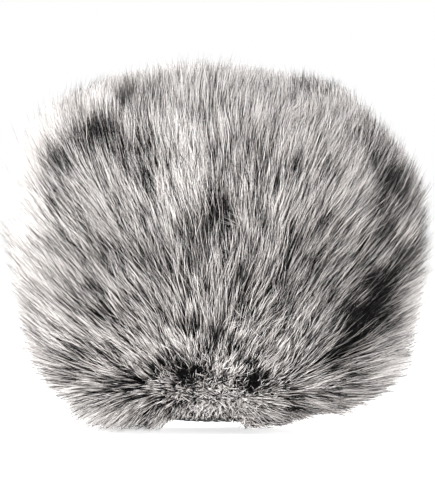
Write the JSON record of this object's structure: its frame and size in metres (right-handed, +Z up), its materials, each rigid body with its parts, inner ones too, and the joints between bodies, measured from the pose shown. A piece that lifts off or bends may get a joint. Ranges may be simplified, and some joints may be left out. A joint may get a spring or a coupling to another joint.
{
  "type": "furry windscreen",
  "caption": "Slip-on long-pile faux-fur windscreen, wide and rounded, over a lined foam core, with an elasticated neck and a rubber ring that grips a slim microphone body.",
  "frame": {"origin": "centre of the bounding box's base, on the surface that the fur stands on, under the middle of the neck", "axes": "+Z up, along the neck's bore away from its mouth; +X across the wide front, to the right as seen from the front; -Y out of the front panel"},
  "size_m": [0.131, 0.095, 0.114],
  "materials": {
    "fur": "matte",
    "knit": "matte",
    "foam": "matte",
    "rubber": "matte",
    "tape": "matte",
    "thread": "matte"
  },
  "bodies": {
    "root": {"front_panel": "fur", "back_panel": "fur", "side_gusset": "fur", "neck_collar": "knit", "neck_binding": "tape", "neck_elastic": "tape", "grip_ring": "rubber", "foam_core": "foam", "lining_sock": "knit", "front_seam_thread": "thread", "back_seam_thread": "thread", "neck_hem_thread": "thread"}
  },
  "joints": []
}
